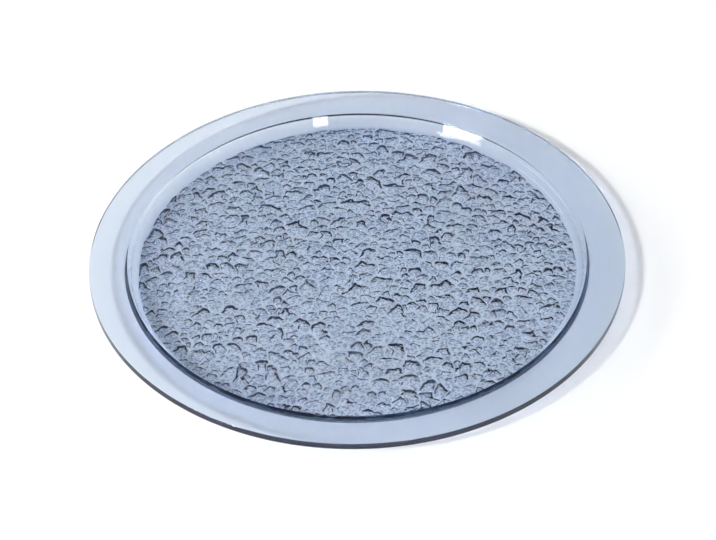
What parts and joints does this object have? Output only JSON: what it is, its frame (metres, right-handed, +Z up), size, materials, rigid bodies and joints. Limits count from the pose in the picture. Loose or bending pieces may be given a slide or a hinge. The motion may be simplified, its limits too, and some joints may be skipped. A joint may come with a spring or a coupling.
{
  "type": "glass plate",
  "caption": "Round serving plate of pale blue pressed glass, with a wide flat rim, a coved wall and a shallow well hammered on its underside.",
  "frame": {"origin": "centre of the footprint, on the surface that the plate stands on", "axes": "+Z up along the plate's own axis, from the foot ring to the rim; +X and +Y lie in the plane of the rim"},
  "size_m": [0.3, 0.3, 0.013],
  "materials": {
    "pressed_glass": "fire-polished pale blue soda-lime glass, smooth above and hammered below the well"
  },
  "bodies": {
    "root": {"plate": "pressed_glass"}
  },
  "joints": []
}
